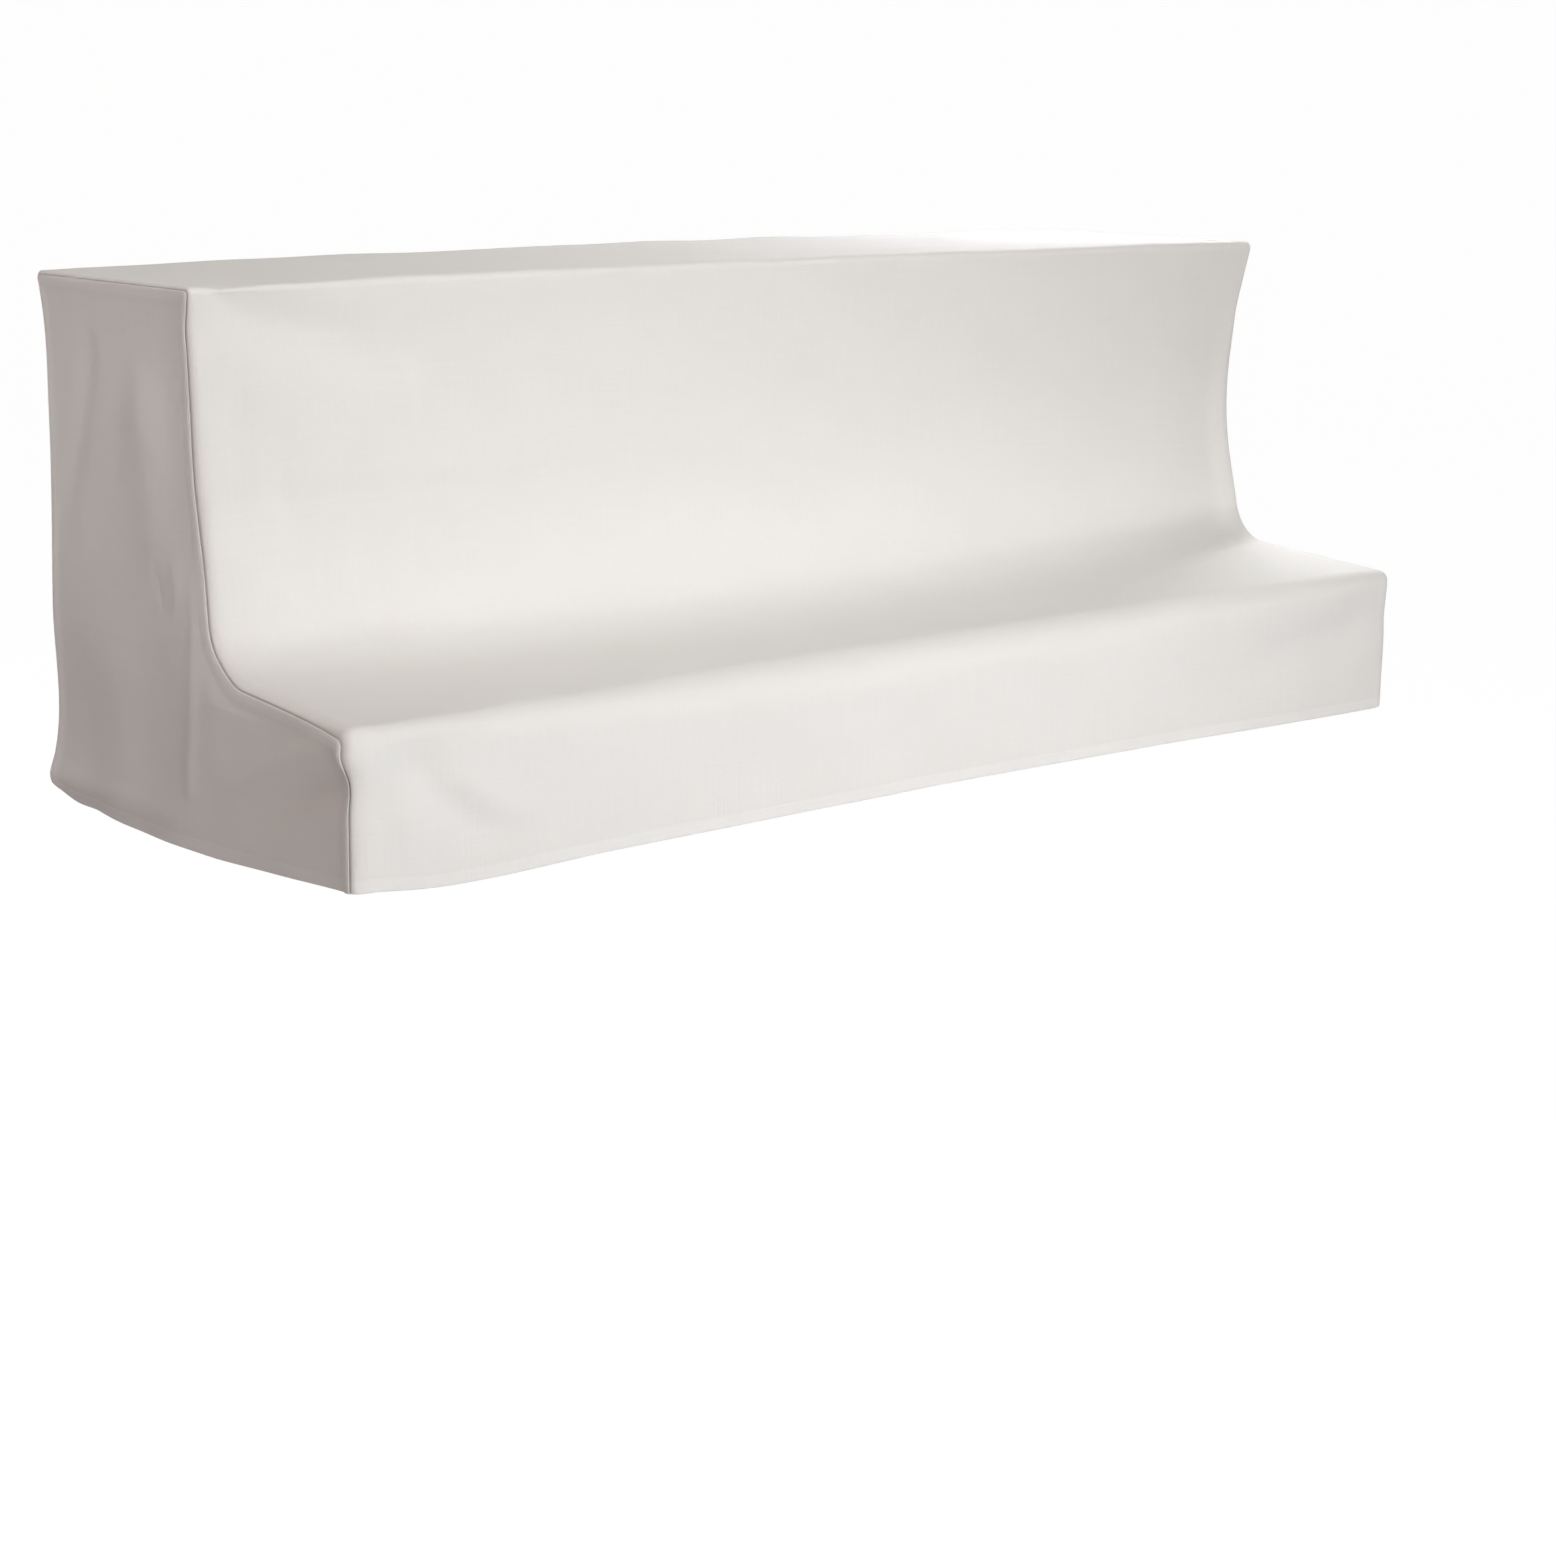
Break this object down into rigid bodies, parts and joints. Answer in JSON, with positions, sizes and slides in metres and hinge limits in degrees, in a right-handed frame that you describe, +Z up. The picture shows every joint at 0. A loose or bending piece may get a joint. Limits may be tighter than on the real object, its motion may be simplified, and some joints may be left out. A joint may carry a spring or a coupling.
{
  "type": "piano cover",
  "caption": "Fitted half cover for an upright piano: a plain off-white cloth hood over the lid, front, key shelf and apron, with a seamed L-shaped gable at each end and turned hems.",
  "frame": {"origin": "middle of the piano lid that the cover lies on, under the cloth of its top", "axes": "+X along the keyboard, to the right for the player who faces the piano; +Y from the player to the wall; +Z up"},
  "size_m": [1.5355, 0.6054, 0.5847],
  "materials": {
    "cover_cloth": "smooth matt off-white closely woven cloth"
  },
  "bodies": {
    "root": {"main_panel": "cover_cloth", "side_panel_left": "cover_cloth", "side_panel_right": "cover_cloth"}
  },
  "joints": []
}
